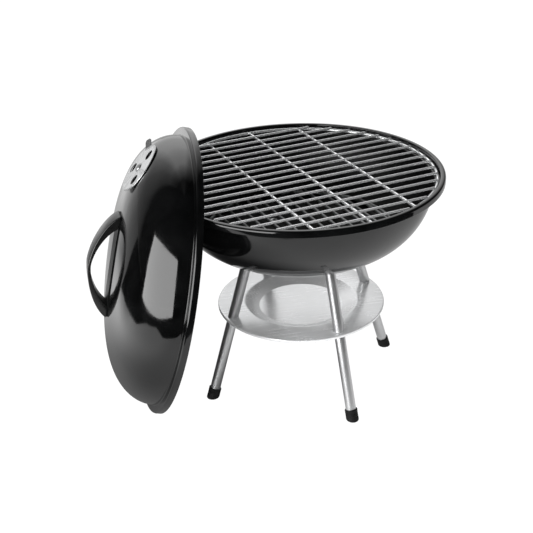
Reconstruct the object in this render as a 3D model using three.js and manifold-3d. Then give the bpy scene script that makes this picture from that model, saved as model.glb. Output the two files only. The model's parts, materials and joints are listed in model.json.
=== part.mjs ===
// Portable kettle charcoal grill: a dished bowl on four splayed tube legs, a
// dropped ash plate clamped in the legs, two wire grates, and a separate domed
// lid that leans against the bowl.
// Millimetres, +Z up. The origin is on the ground at the middle of the footprint
// box. The lid stands on the -X side of the bowl.

import * as THREE from 'three';
import { mergeVertices } from 'three/addons/utils/BufferGeometryUtils.js';
import Module from 'manifold-3d';

const wasm = await Module();
wasm.setup();

// ---------------------------------------------------------------- dimensions
const AXIS_X = 46.3;            // bowl axis, measured along +X from the origin
const SHEET = 1.2;              // enamelled sheet of the bowl and the lid
const GAP = 0.3;                // working gap between separate pieces
const SEG = 36;                 // facets round the large turned pieces

// bowl
const RIM_R = 180;              // outside radius of the rolled rim
const RIM_TOP = 291.8;          // height of the rim above the ground
const RIM_DROP = 8.3;           // depth of the rolled skirt
const SEAT_R = 174.6;           // outside of the seat wall under the rim
const SEAT_DROP = 8.6;          // grate seat below the rim top
const BOWL_R = 167;             // outside radius of the bowl wall at the seat
const BOWL_DEPTH = 95;          // wall top to bowl bottom
const BOWL_P = 3.58, BOWL_Q = 1.8;      // dish curve exponents
const BOWL_FLAT_R = 46;         // flat patch under the bowl for the damper

// legs, all four alike
const LEG_AZ = [-164.75, -74.75, 15.25, 105.25];  // degrees round the bowl axis
const LEG_D = 13.2;             // tube diameter
const LEG_BORE = 11.0;
const LEG_R_PLATE = 98.6;       // leg axis radius at the ash plate
const LEG_R_FLOOR = 133.1;      // leg axis radius at the ground
const CAP_D = 16.2;             // rubber foot
const CAP_L = 14.5;

// ash plate
const PLATE_Z = 111.4;          // top face of the flat rim
const PLATE_T = 1.2;
const PLATE_R = 108.8;
const DISH_R = 73, DISH_FLOOR_R = 55, DISH_DEPTH = 8;

// dampers, lid and bowl alike
const DAMPER_R = 33.3;
const DAMPER_T = 1.0;
const VENT_PCD_R = 20.2;        // radius of the circle of the three air holes
const VENT_HOLE_D = 13.6;
const TAB_W = 13.5, TAB_H = 10.5, TAB_LEAN = 65;   // finger tab, lean from the disc axis
const VENT_SPIN = -8.7;         // degrees, turn of the lid vent's hole pattern
const RIVET_D = 6;

// wire grates
const GRATE_R = 170.0;          // centreline radius of the cooking grate ring
const GRATE_RING_D = 4.2, GRATE_BAR_D = 3.2, GRATE_CROSS_D = 3.6;
const GRATE_PITCH = 19;
const GRATE_DIR = 13;           // degrees, direction of the bars
const GRATE_SHIFT = 3.3;        // offset of the bars from the middle
const GRATE_CROSS_AT = [-58, 8, 74];
const COAL_R = 121;             // centreline radius of the charcoal grate ring
const COAL_RING_D = 5, COAL_BAR_D = 4, COAL_CROSS_D = 4;
const COAL_PITCH = 17;
const COAL_DIR = 103;
const COAL_CROSS_AT = [-55, 55];

// lid, in its own frame: +Z is the dome side, the rim lies in its XY plane
const LID_RIM_R = 180;
const LID_SKIRT = 8.4;          // depth of the rim band
const LID_R = 169.8;            // outside radius of the dome wall
const LID_RISE = 65.8;          // dome height above the rim band
const LID_P = 3.46, LID_Q = 1.98;
const LID_LEAN = 13.44;         // degrees of the rim plane from upright
const LID_D = 167.5;            // rim centre to bowl axis, along X
const LID_SPIN = 4;             // degrees of the handle line from upright
const VENT_AT = 128.5;          // lid vent centre from the lid axis
const VENT_TILT = 27.6;         // degrees of the vent seat to the lid axis
const VENT_SINK = 2.0;          // depth of the pressed vent seat

// lid handle
const HANDLE_W = 27;
const HANDLE_OUT = [70, 37], HANDLE_IN = [52.7, 32.2];  // half length, rise
const HANDLE_BASE = 5.7;        // arch springs from this far inside the dome top
const HANDLE_M = 1.63;
const SCREW_AT = 58;            // handle screws from the lid axis
const SHIELD_L = 134, SHIELD_W = 30, SHIELD_T = 1.0;

// ---------------------------------------------------------------- materials
const mat = (color, roughness, metalness) =>
  new THREE.MeshStandardMaterial({ color, roughness, metalness });
const ENAMEL = mat(0x0b0b0c, 0.12, 0.0);
const CHROME = mat(0xd4d6d8, 0.18, 1.0);
const TUBE = mat(0xb9bbbd, 0.35, 1.0);
const PLATE = mat(0xc9cbcd, 0.3, 1.0);
const RUBBER = mat(0x101010, 0.75, 0.0);
const NYLON = mat(0x141414, 0.45, 0.0);
const STEEL = mat(0xa9abad, 0.35, 1.0);

// ---------------------------------------------------------------- helpers
const RAD = Math.PI / 180;
const rotY = (a) => new THREE.Matrix4().makeRotationY(a);
const rotZ = (a) => new THREE.Matrix4().makeRotationZ(a);
const move = (x, y, z) => new THREE.Matrix4().makeTranslation(x, y, z);

function solid(geometry, matrix) {
  let g = geometry.clone();
  if (matrix) g.applyMatrix4(matrix);
  g.deleteAttribute('normal');
  g.deleteAttribute('uv');
  g = mergeVertices(g, 1e-4);
  const mesh = new wasm.Mesh({
    numProp: 3,
    vertProperties: new Float32Array(g.attributes.position.array),
    triVerts: new Uint32Array(g.index.array),
  });
  return new wasm.Manifold(mesh);
}

function geometryOf(manifold) {
  const m = manifold.getMesh();
  const g = new THREE.BufferGeometry();
  g.setAttribute('position', new THREE.BufferAttribute(new Float32Array(m.vertProperties), 3));
  g.setIndex(new THREE.BufferAttribute(new Uint32Array(m.triVerts), 1));
  g.computeVertexNormals();
  return g;
}

function named(name, manifold, material) {
  const mesh = new THREE.Mesh(geometryOf(manifold), material);
  mesh.name = name;
  return mesh;
}

// turned solid about +Z from [radius, height] points that start and end on the axis
function turned(points, segments = SEG, phase = 0) {
  const g = new THREE.LatheGeometry(points.map(([r, z]) => new THREE.Vector2(r, z)), segments);
  g.applyMatrix4(new THREE.Matrix4().makeRotationX(Math.PI / 2));
  if (phase) g.applyMatrix4(rotZ(phase));
  let m = solid(g);
  if (m.volume() < 0) {
    const idx = g.index.array;
    for (let i = 0; i < idx.length; i += 3) [idx[i], idx[i + 1]] = [idx[i + 1], idx[i]];
    m = solid(g);
  }
  return m;
}

// round bar along +Z from z0 to z1
function bar(d, z0, z1, sides = 12) {
  const g = new THREE.CylinderGeometry(d / 2, d / 2, z1 - z0, sides);
  g.applyMatrix4(new THREE.Matrix4().makeRotationX(Math.PI / 2));
  g.applyMatrix4(move(0, 0, (z0 + z1) / 2));
  return solid(g);
}

const box = (x0, x1, y0, y1, z0, z1) => {
  const g = new THREE.BoxGeometry(x1 - x0, y1 - y0, z1 - z0);
  g.applyMatrix4(move((x0 + x1) / 2, (y0 + y1) / 2, (z0 + z1) / 2));
  return solid(g);
};

const put = (manifold, matrix) => manifold.transform(Array.from(matrix.elements));

// dish curve: n+1 points from the wall [R, 0] to the pole [0, depth]
function dish(R, depth, p, q, n) {
  const out = [];
  for (let i = 0; i <= n; i++) {
    const t = (i / n) * Math.PI / 2;
    const c = Math.max(Math.cos(t), 0), s = Math.sin(t);
    out.push([i === n ? 0 : R * Math.pow(c, 2 / p), depth * Math.pow(s, 2 / q)]);
  }
  return out;
}

// the same curve moved along its normal by k (positive is outwards)
function offsetCurve(curve, k) {
  return curve.map(([r, z], i) => {
    const a = curve[Math.max(i - 1, 0)], b = curve[Math.min(i + 1, curve.length - 1)];
    let tx = b[0] - a[0], tz = b[1] - a[1];
    const L = Math.hypot(tx, tz);
    tx /= L; tz /= L;
    if (i === curve.length - 1) return [0, z + k];
    if (i === 0) return [r + k, z];
    return [Math.max(r + tz * k, 0), z - tx * k];
  });
}

// wire between two points
function wire(p0, p1, d, sides = 4) {
  const a = new THREE.Vector3(...p0), b = new THREE.Vector3(...p1);
  const L = a.distanceTo(b);
  const g = new THREE.CylinderGeometry(d / 2, d / 2, L, sides);
  const q = new THREE.Quaternion().setFromUnitVectors(new THREE.Vector3(0, 1, 0), b.clone().sub(a).normalize());
  g.applyQuaternion(q);
  g.applyMatrix4(move((a.x + b.x) / 2, (a.y + b.y) / 2, (a.z + b.z) / 2));
  return solid(g);
}

function ring(R, d, z, segments = 36, sides = 5) {
  const g = new THREE.TorusGeometry(R, d / 2, sides, segments);
  return solid(g, move(0, 0, z));
}

// welded wire grate: ring and cross wires at one level, parallel bars laid over them
function grate(R, ringD, barD, crossD, z, pitch, shift, dirDeg, crossAt) {
  let m = ring(R, ringD, z);
  const d = dirDeg * RAD, c = Math.cos(d), s = Math.sin(d);
  const at = (u, v, h) => [u * c - v * s, u * s + v * c, h];
  const n = Math.floor((R - 8) / pitch - 0.5);
  const zBar = z + crossD / 2 + barD / 2 - 0.4;
  for (let i = -n - 1; i <= n; i++) {
    const v = (i + 0.5) * pitch + shift;
    if (Math.abs(v) > R - 8) continue;
    const h = Math.sqrt(R * R - v * v) - 0.2;
    m = m.add(wire(at(-h, v, zBar), at(h, v, zBar), barD));
  }
  for (const u of crossAt) {
    const h = Math.sqrt(R * R - u * u) - 0.4;

    m = m.add(wire(at(u, -h, z), at(u, h, z), crossD));
  }
  return m;
}

// air damper disc in the XY plane, lower face at z = 0, tab bent up at +X
function damper(tabDir) {
  let m = bar(DAMPER_R * 2, 0, DAMPER_T, 28);
  for (let i = 0; i < 3; i++) {
    const a = i * 120 * RAD;
    m = m.subtract(put(bar(VENT_HOLE_D, -1, 3, 12), move(VENT_PCD_R * Math.cos(a), VENT_PCD_R * Math.sin(a), 0)));
  }
  m = m.subtract(bar(RIVET_D + 2 * GAP, -1, 3, 12));
  const blade = put(box(-DAMPER_T / 2, DAMPER_T / 2, -TAB_W / 2, TAB_W / 2, 0, TAB_H),
    move(DAMPER_R - 2.2, 0, DAMPER_T / 2).multiply(rotY(TAB_LEAN * RAD)));
  return m.add(put(blade, rotZ(tabDir * RAD)));
}

// two-headed rivet along +Z: heads from z0 down and from z1 up
function rivet(z0, z1, headD, headT) {
  return bar(RIVET_D, z0 - headT / 2, z1 + headT / 2, 10)
    .add(turned([[0, z0 - headT], [headD * 0.3, z0 - headT], [headD / 2, z0 - headT * 0.3], [headD / 2, z0], [0, z0]], 14))
    .add(turned([[0, z1], [headD / 2, z1], [headD / 2, z1 + headT * 0.3], [headD * 0.3, z1 + headT], [0, z1 + headT]], 14));
}

// ---------------------------------------------------------------- bowl
const bowlCurve = dish(BOWL_R, BOWL_DEPTH, BOWL_P, BOWL_Q, 9);
const WALL_TOP = RIM_TOP - 9;                 // where the wall meets the seat
const BOTTOM = WALL_TOP - BOWL_DEPTH;         // underside of the flat patch
const bowlZ = (curve) => curve.map(([r, d]) => [r, WALL_TOP - d]);

function flatten(points, zFlat, rFlat) {      // flat patch round the pole
  const kept = points.filter(([r]) => r > rFlat + 2);
  return [...kept, [rFlat, zFlat], [0, zFlat]];
}
const bowlOuter = flatten(bowlZ(bowlCurve), BOTTOM, BOWL_FLAT_R);
const bowlInner = flatten(bowlZ(offsetCurve(bowlCurve, -SHEET)), BOTTOM + SHEET, BOWL_FLAT_R);

const rimOutside = [
  [SEAT_R, WALL_TOP - 0.8],
  [SEAT_R, RIM_TOP - SHEET],
  [RIM_R - SHEET, RIM_TOP - SHEET],
  [RIM_R - SHEET, RIM_TOP - RIM_DROP],
  [RIM_R, RIM_TOP - RIM_DROP],
  [RIM_R, RIM_TOP - 1.8],
  [RIM_R - 1.8, RIM_TOP],
  [SEAT_R - SHEET, RIM_TOP - 0.6],
  [SEAT_R - SHEET, RIM_TOP - SEAT_DROP],
  [BOWL_R - SHEET, RIM_TOP - SEAT_DROP],
];
const bowlProfile = [
  ...[...bowlOuter].reverse().slice(0, -1),
  [BOWL_R, WALL_TOP - 0.8],
  ...rimOutside,
  ...bowlInner.slice(1),
];

// the same bowl as a filled body, grown by k, to trim what rests against it
const bowlBody = (k) => turned([
  [0, RIM_TOP], [BOWL_R + k, RIM_TOP],
  ...flatten(bowlZ(offsetCurve(bowlCurve, k)), BOTTOM - k, BOWL_FLAT_R),
]);

// leg axis: distance t up the leg from the plate top face, in the azimuth-0 plane
const LEAN = Math.atan2(LEG_R_FLOOR - LEG_R_PLATE, PLATE_Z);
const legFrame = move(LEG_R_PLATE, 0, PLATE_Z).multiply(rotY(-LEAN));
const legBar = (d, t0, t1, sides = 12) => put(bar(d, t0, t1, sides), legFrame);
const T_BOWL = (WALL_TOP - 92 - PLATE_Z) / Math.cos(LEAN);   // leg meets the bowl
const T_FLOOR = -PLATE_Z / Math.cos(LEAN);

let bowl = turned(bowlProfile);
for (const az of LEG_AZ) bowl = bowl.subtract(put(legBar(6.6, T_BOWL - 20, T_BOWL + 25), rotZ(az * RAD)));
for (let i = 0; i < 3; i++) {
  const a = (i * 120 + 60) * RAD;
  bowl = bowl.subtract(put(bar(VENT_HOLE_D, BOTTOM - 5, BOTTOM + 5), move(VENT_PCD_R * Math.cos(a), VENT_PCD_R * Math.sin(a), 0)));
}
bowl = bowl.subtract(bar(RIVET_D + 2 * GAP, BOTTOM - 5, BOTTOM + 5));

// ---------------------------------------------------------------- legs
const big = 400;
const abovePlate = box(-big, big, -big, big, PLATE_Z + GAP, big);
const belowPlate = box(-big, big, -big, big, -big, PLATE_Z - PLATE_T - GAP);
const aboveGround = box(-big, big, -big, big, 0, big);

const legUpper = legBar(LEG_D, -20, T_BOWL + 20)
  .subtract(legBar(LEG_BORE, -30, T_BOWL - 14))
  .subtract(legBar(6.6, T_BOWL - 30, T_BOWL + 40, 12))
  .intersect(abovePlate)
  .subtract(bowlBody(GAP + 0.35));
const T_END = T_FLOOR + 5.8;
const legLower = legBar(LEG_D, T_END, 20)
  .subtract(legBar(LEG_BORE, T_END - 10, 30))
  .intersect(belowPlate);
const legJoiner = legBar(LEG_BORE - 2 * GAP, 3.4, 16, 12)
  .add(legBar(5.8, -8, 8, 12))
  .add(legBar(LEG_BORE - 2 * GAP, -17, -5, 12));
const legCap = legBar(CAP_D, T_FLOOR - 12, T_FLOOR + CAP_L, 14)
  .subtract(legBar(LEG_D + 2 * GAP, T_END - GAP, T_FLOOR + CAP_L + 10, 14))
  .add(legBar(LEG_BORE - 2 * GAP, T_END - 1.5, T_END + 8, 12))
  .intersect(aboveGround);
// pan-head bolt driven from inside the bowl
const HEAD_T0 = T_BOWL + 2.9;
const legBolt = legBar(6, T_BOWL - 12, HEAD_T0 + 1, 12)
  .add(legBar(12, HEAD_T0, HEAD_T0 + 3, 12))
  .subtract(legBar(3.4, HEAD_T0 + 1.2, HEAD_T0 + 6, 6));

// ---------------------------------------------------------------- ash plate
const zt = PLATE_Z, zb = PLATE_Z - PLATE_T;
let plate = turned([
  [0, zt - DISH_DEPTH], [DISH_FLOOR_R, zt - DISH_DEPTH], [DISH_R - 2.5, zt - 1.0], [DISH_R, zt],
  [PLATE_R - 0.8, zt], [PLATE_R, zt - 0.8], [PLATE_R, zb - 2.2], [PLATE_R - 1.2, zb - 2.2],
  [PLATE_R - 1.2, zb],
  [DISH_R + 0.7, zb], [DISH_R - 1.9, zb - 1.0], [DISH_FLOOR_R - 0.7, zb - DISH_DEPTH], [0, zb - DISH_DEPTH],
]);
for (const az of LEG_AZ) {
  plate = plate.subtract(put(bar(7.2, zb - 3, zt + 3), rotZ(az * RAD).multiply(move(LEG_R_PLATE + 0.2, 0, 0))));
}

// ---------------------------------------------------------------- dampers and grates
const bowlDamper = put(damper(-60), move(0, 0, BOTTOM - GAP).multiply(new THREE.Matrix4().makeRotationX(Math.PI)));
const bowlRivet = put(rivet(BOTTOM - GAP - DAMPER_T - GAP, BOTTOM + SHEET + GAP, 11, 2.2), move(0, 0, 0));

const GRATE_Z = RIM_TOP - SEAT_DROP + GAP + GRATE_RING_D / 2;
const cookingGrate = grate(GRATE_R, GRATE_RING_D, GRATE_BAR_D, GRATE_CROSS_D, GRATE_Z, GRATE_PITCH, GRATE_SHIFT, GRATE_DIR, GRATE_CROSS_AT);

// the charcoal grate drops until its ring meets the sloping wall
let coalZ = RIM_TOP;
const clearOfWall = (z) => {
  const need = SHEET + COAL_RING_D / 2 + GAP + 0.7;
  const fine = bowlZ(dish(BOWL_R, BOWL_DEPTH, BOWL_P, BOWL_Q, 400));
  return fine.every(([r, h]) => Math.hypot(r - COAL_R, h - z) > need);
};
while (clearOfWall(coalZ - 0.1)) coalZ -= 0.1;
const charcoalGrate = grate(COAL_R, COAL_RING_D, COAL_BAR_D, COAL_CROSS_D, coalZ, COAL_PITCH, 0, COAL_DIR, COAL_CROSS_AT);

// ---------------------------------------------------------------- lid
const lidCurve = dish(LID_R, LID_RISE, LID_P, LID_Q, 10).map(([r, z]) => [r, z + LID_SKIRT + 0.6]);
const lidTop = LID_SKIRT + 0.6 + LID_RISE;
const lidOuterPts = [
  [0, 0], [LID_RIM_R, 0], [LID_RIM_R, LID_SKIRT - 2.0], [LID_RIM_R - 2.0, LID_SKIRT], [LID_R + 1.6, LID_SKIRT + 0.3],
  ...lidCurve,
];
const lidInnerPts = [
  [0, -1], [LID_RIM_R - SHEET, -1], [LID_RIM_R - SHEET, LID_SKIRT - 2.6], [LID_RIM_R - 2.6, LID_SKIRT - SHEET],
  [LID_R + 0.2, LID_SKIRT - SHEET + 0.2],
  ...offsetCurve(lidCurve, -SHEET),
];
const lidBody = (k) => turned([[0, 20], [LID_R + k, 20], ...offsetCurve(lidCurve, k).filter(([, z]) => z > 24)]);

const surfaceAt = (rho) => {       // height of the dome at a radius
  const fine = dish(LID_R, LID_RISE, LID_P, LID_Q, 600);
  let best = fine[0];
  for (const p of fine) if (Math.abs(p[0] - rho) < Math.abs(best[0] - rho)) best = p;
  return best[1] + LID_SKIRT + 0.6;
};
// vent seat frame: +Z out of the lid, +X away from the lid axis
const spin = rotZ(LID_SPIN * RAD);
const ventFrame = spin.clone()
  .multiply(move(VENT_AT, 0, surfaceAt(VENT_AT)))
  .multiply(rotY(VENT_TILT * RAD))
  .multiply(move(0, 0, -VENT_SINK));
const slab = (z0) => put(box(-big, big, -big, big, z0, z0 + 200), ventFrame);

let lid = turned(lidOuterPts).subtract(slab(0))
  .subtract(turned(lidInnerPts).subtract(slab(-SHEET)));
for (let i = 0; i < 3; i++) {
  const a = (i * 120 + VENT_SPIN) * RAD;
  lid = lid.subtract(put(bar(VENT_HOLE_D, -12, 12), ventFrame.clone().multiply(move(VENT_PCD_R * Math.cos(a), VENT_PCD_R * Math.sin(a), 0))));
}
lid = lid.subtract(put(bar(RIVET_D + 2 * GAP, -12, 12), ventFrame));
for (const s of [-1, 1]) lid = lid.subtract(put(bar(5.4, 40, 120, 12), spin.clone().multiply(move(s * SCREW_AT, 0, 0))));

const lidDamper = put(damper(41 - VENT_SPIN), ventFrame.clone().multiply(move(0, 0, GAP)).multiply(rotZ(VENT_SPIN * RAD)));
const lidRivet = put(rivet(-SHEET - GAP, GAP + DAMPER_T + GAP, 11, 2.2), ventFrame);

// arched handle, a crescent in side view
function arch([half, rise], n) {
  const pts = [];
  for (let i = 0; i <= n; i++) {
    const t = (i / n) * Math.PI, c = Math.cos(t), s = Math.sin(t);
    pts.push([half * Math.sign(c) * Math.pow(Math.abs(c), 2 / HANDLE_M), lidTop - HANDLE_BASE + rise * Math.pow(Math.max(s, 0), 2 / HANDLE_M)]);
  }
  return pts;
}
const out = arch(HANDLE_OUT, 20), inn = arch(HANDLE_IN, 18).reverse();
const crescent = new THREE.Shape([...out, ...inn].map(([x, y]) => new THREE.Vector2(x, y)));
const crescentGeo = new THREE.ExtrudeGeometry(crescent, { depth: HANDLE_W, bevelEnabled: false });
crescentGeo.applyMatrix4(new THREE.Matrix4().makeRotationX(Math.PI / 2));
crescentGeo.applyMatrix4(move(0, HANDLE_W / 2, 0));
let handle = put(solid(crescentGeo), spin).subtract(lidBody(2 * GAP + SHIELD_T));
for (const s of [-1, 1]) handle = handle.subtract(put(bar(4.6, 60, lidTop + 6.5, 12), spin.clone().multiply(move(s * SCREW_AT, 0, 0))));

// thin shield strip between the handle and the lid
let shield = put(box(-SHIELD_L / 2, SHIELD_L / 2, -SHIELD_W / 2, SHIELD_W / 2, 40, 120), spin)
  .intersect(lidBody(GAP + SHIELD_T)).subtract(lidBody(GAP));
for (const s of [-1, 1]) shield = shield.subtract(put(bar(5.4, 40, 120, 12), spin.clone().multiply(move(s * SCREW_AT, 0, 0))));

const zScrew = surfaceAt(SCREW_AT) - SHEET;
const handleScrew = (s) => put(bar(4, zScrew - 1, lidTop + 6, 12)
  .add(turned([[0, zScrew - 3.2], [2.8, zScrew - 3.2], [4.5, zScrew - 2], [4.5, zScrew - 0.8], [0, zScrew - 0.8]], 12))
  .subtract(bar(2.2, zScrew - 6, zScrew - 2.2, 6)), spin.clone().multiply(move(s * SCREW_AT, 0, 0)));

// ---------------------------------------------------------------- scene graph
const grill = new THREE.Group();

const base = new THREE.Group();
base.position.x = AXIS_X;
grill.add(base);

base.add(named('bowl', bowl, ENAMEL));
base.add(named('ash_plate', plate, PLATE));
base.add(named('bowl_vent_damper', bowlDamper, STEEL));
base.add(named('bowl_vent_rivet', bowlRivet, STEEL));
base.add(named('cooking_grate', cookingGrate, CHROME));
base.add(named('charcoal_grate', charcoalGrate, CHROME));

LEG_AZ.forEach((az, i) => {
  const leg = new THREE.Group();
  leg.rotation.z = az * RAD;
  leg.add(named(`leg_upper_${i + 1}`, legUpper, TUBE));
  leg.add(named(`leg_lower_${i + 1}`, legLower, TUBE));
  leg.add(named(`leg_joiner_${i + 1}`, legJoiner, STEEL));
  leg.add(named(`foot_cap_${i + 1}`, legCap, RUBBER));
  leg.add(named(`leg_bolt_${i + 1}`, legBolt, STEEL));
  base.add(leg);
});

// lid frame: +Z of the lid points away from the bowl, +X of the lid points up
const lean = LID_LEAN * RAD;
const lidGroup = new THREE.Group();
const ex = new THREE.Vector3(Math.sin(lean), 0, Math.cos(lean));
const ez = new THREE.Vector3(-Math.cos(lean), 0, Math.sin(lean));
const ey = new THREE.Vector3().crossVectors(ez, ex);
lidGroup.matrixAutoUpdate = true;
lidGroup.quaternion.setFromRotationMatrix(new THREE.Matrix4().makeBasis(ex, ey, ez));
lidGroup.position.set(-LID_D, 0, LID_RIM_R * Math.cos(lean));
base.add(lidGroup);

lidGroup.add(named('lid', lid, ENAMEL));
lidGroup.add(named('lid_handle', handle, NYLON));
lidGroup.add(named('handle_heat_shield', shield, STEEL));
lidGroup.add(named('handle_screw_upper', handleScrew(1), STEEL));
lidGroup.add(named('handle_screw_lower', handleScrew(-1), STEEL));
lidGroup.add(named('lid_vent_damper', lidDamper, STEEL));
lidGroup.add(named('lid_vent_rivet', lidRivet, STEEL));

export default grill;
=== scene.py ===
import bpy, math, json
from mathutils import Matrix, Vector
from mathutils.bvhtree import BVHTree
from mathutils.interpolate import poly_3d_calc

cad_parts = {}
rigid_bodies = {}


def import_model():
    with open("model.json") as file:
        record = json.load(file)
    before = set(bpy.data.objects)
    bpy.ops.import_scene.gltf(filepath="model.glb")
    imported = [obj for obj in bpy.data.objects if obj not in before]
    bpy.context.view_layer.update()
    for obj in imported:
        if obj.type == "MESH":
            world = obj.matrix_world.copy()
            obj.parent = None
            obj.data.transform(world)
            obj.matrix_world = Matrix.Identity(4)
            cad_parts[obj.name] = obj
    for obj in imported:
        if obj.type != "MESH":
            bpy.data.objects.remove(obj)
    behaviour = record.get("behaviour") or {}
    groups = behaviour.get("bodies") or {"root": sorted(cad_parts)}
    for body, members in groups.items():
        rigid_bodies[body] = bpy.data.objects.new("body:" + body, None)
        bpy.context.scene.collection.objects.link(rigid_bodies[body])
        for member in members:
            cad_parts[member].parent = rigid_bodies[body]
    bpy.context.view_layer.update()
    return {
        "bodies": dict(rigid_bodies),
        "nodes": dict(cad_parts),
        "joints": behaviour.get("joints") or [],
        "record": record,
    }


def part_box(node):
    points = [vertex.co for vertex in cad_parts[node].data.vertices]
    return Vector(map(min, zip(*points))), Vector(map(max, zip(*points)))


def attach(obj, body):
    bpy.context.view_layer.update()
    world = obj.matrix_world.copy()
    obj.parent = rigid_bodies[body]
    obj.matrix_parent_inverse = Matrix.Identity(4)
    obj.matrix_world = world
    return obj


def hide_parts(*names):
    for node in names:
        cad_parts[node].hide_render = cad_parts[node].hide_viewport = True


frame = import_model()
scene = bpy.context.scene
MM = 0.001
PI = math.pi
RAD = PI / 180

# ------------------------------------------------------------------ sizes, mm
AXIS_X = 46.3
SHEET, GAP = 1.2, 0.3
RIM_R, RIM_TOP, RIM_DROP = 180.0, 291.8, 8.3
SEAT_R, SEAT_DROP = 174.6, 8.6
BOWL_R, BOWL_DEPTH, BOWL_P, BOWL_Q, BOWL_FLAT_R = 167.0, 95.0, 3.58, 1.8, 46.0
WALL_TOP = RIM_TOP - 9
BOTTOM = WALL_TOP - BOWL_DEPTH
LEG_AZ = [-164.75, -74.75, 15.25, 105.25]
LEG_D, LEG_R_PLATE, LEG_R_FLOOR = 13.2, 98.6, 133.1
CAP_D, CAP_L = 16.2, 14.5
PLATE_Z, PLATE_T, PLATE_R = 111.4, 1.2, 108.8
DISH_R, DISH_FLOOR_R, DISH_DEPTH = 73.0, 55.0, 8.0
DAMPER_R, DAMPER_T = 33.3, 1.0
VENT_PCD_R, VENT_HOLE_D, VENT_SPIN = 20.2, 13.6, -8.7 * RAD
TAB_W, TAB_H, TAB_LEAN, RIVET_D = 13.5, 10.5, 65 * RAD, 6.0
GRATE_R, GRATE_RING_D, GRATE_BAR_D, GRATE_CROSS_D = 170.0, 4.2, 3.2, 3.6
GRATE_PITCH, GRATE_DIR, GRATE_SHIFT, GRATE_CROSS_AT = 19.0, 13.0, 3.3, [-58, 8, 74]
COAL_R, COAL_RING_D, COAL_BAR_D, COAL_CROSS_D = 121.0, 5.0, 4.0, 4.0
COAL_PITCH, COAL_DIR, COAL_CROSS_AT = 17.0, 103.0, [-55, 55]
LID_RIM_R, LID_SKIRT, LID_R, LID_RISE, LID_P, LID_Q = 180.0, 8.4, 169.8, 65.8, 3.46, 1.98
LID_LEAN, LID_D, LID_SPIN = 13.44 * RAD, 167.5, 4 * RAD
VENT_AT, VENT_TILT, VENT_SINK = 128.5, 27.6 * RAD, 2.0
HANDLE_W, HANDLE_OUT, HANDLE_IN, HANDLE_BASE, HANDLE_M = 27.0, (70.0, 37.0), (52.7, 32.2), 5.7, 1.63
SCREW_AT, SHIELD_L, SHIELD_W, SHIELD_T = 58.0, 134.0, 30.0, 1.0
LEAN = math.atan2(LEG_R_FLOOR - LEG_R_PLATE, PLATE_Z)

T = lambda x, y, z: Matrix.Translation((x, y, z))
RX = lambda a: Matrix.Rotation(a, 4, 'X')
RY = lambda a: Matrix.Rotation(a, 4, 'Y')
RZ = lambda a: Matrix.Rotation(a, 4, 'Z')

BASE = T(AXIS_X, 0, 0)
sl, cl = math.sin(LID_LEAN), math.cos(LID_LEAN)
LID = T(AXIS_X - LID_D, 0, LID_RIM_R * cl) @ Matrix(((sl, 0, -cl, 0), (0, 1, 0, 0), (cl, 0, sl, 0), (0, 0, 0, 1)))


# ------------------------------------------------------------------ mesh tools
class Part:
    """Vertices and faces in mm, gathered before they become one object."""

    def __init__(self):
        self.v, self.f = [], []

    def add(self, verts, faces, M=None):
        b = len(self.v)
        for p in verts:
            self.v.append(tuple(M @ Vector(p)) if M else tuple(p))
        self.f += [tuple(i + b for i in f) for f in faces]
        return self

    def make(self, name, M, sharp=32):
        me = bpy.data.meshes.new(name)
        me.from_pydata([tuple((M @ Vector(p)) * MM) for p in self.v], [], self.f)
        me.update()
        me.shade_smooth()
        if sharp:
            me.set_sharp_from_angle(angle=sharp * RAD)
        ob = bpy.data.objects.new(name, me)
        scene.collection.objects.link(ob)
        return ob


def area2(p):
    return sum(p[i][0] * p[(i + 1) % len(p)][1] - p[(i + 1) % len(p)][0] * p[i][1] for i in range(len(p)))


def fillet(points):
    """Closed outline of (r, z, radius) with its corners rounded."""
    out, n = [], len(points)
    for i, (x, y, rad) in enumerate(points):
        if rad <= 0:
            out.append((x, y))
            continue
        a, b = Vector(points[i - 1][:2]), Vector(points[(i + 1) % n][:2])
        p = Vector((x, y))
        u, w = (a - p), (b - p)
        la, lb = u.length, w.length
        u, w = u / la, w / lb
        ang = math.acos(max(-1, min(1, u.dot(w))))
        d = min(rad / math.tan(ang / 2), la * 0.49, lb * 0.49)
        r = d * math.tan(ang / 2)
        c = p + (u + w).normalized() * (r / math.sin(ang / 2))
        s, e = p + u * d, p + w * d
        a0, a1 = math.atan2(s.y - c.y, s.x - c.x), math.atan2(e.y - c.y, e.x - c.x)
        da = (a1 - a0 + PI) % (2 * PI) - PI
        k = max(3, int(abs(da) / (13 * RAD)))
        for j in range(k + 1):
            t = a0 + da * j / k
            out.append((c.x + r * math.cos(t), c.y + r * math.sin(t)))
    return out


def lathe(prof, seg, closed=True, turn=0.0):
    """Outline of (r, z), r a number or a function of the angle, turned about +Z."""
    num = [(r(0) if callable(r) else r, z) for r, z in prof]
    if closed and area2(num) < 0:
        prof = prof[::-1]
    v, rows, f = [], [], []
    for r, z in prof:
        if not callable(r) and r < 1e-6:
            rows.append([len(v)])
            v.append((0, 0, z))
            continue
        b = len(v)
        for k in range(seg):
            a = 2 * PI * k / seg + turn
            q = r(a) if callable(r) else r
            v.append((q * math.cos(a), q * math.sin(a), z))
        rows.append(list(range(b, b + seg)))
    n = len(rows)
    for i in range(n if closed else n - 1):
        A, B = rows[i], rows[(i + 1) % n]
        if len(A) == 1 and len(B) == 1:
            continue
        for k in range(seg):
            m = (k + 1) % seg
            if len(A) == 1:
                f.append((A[0], B[m], B[k]))
            elif len(B) == 1:
                f.append((A[k], A[m], B[0]))
            else:
                f.append((A[k], A[m], B[m], B[k]))
    return v, f


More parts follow.
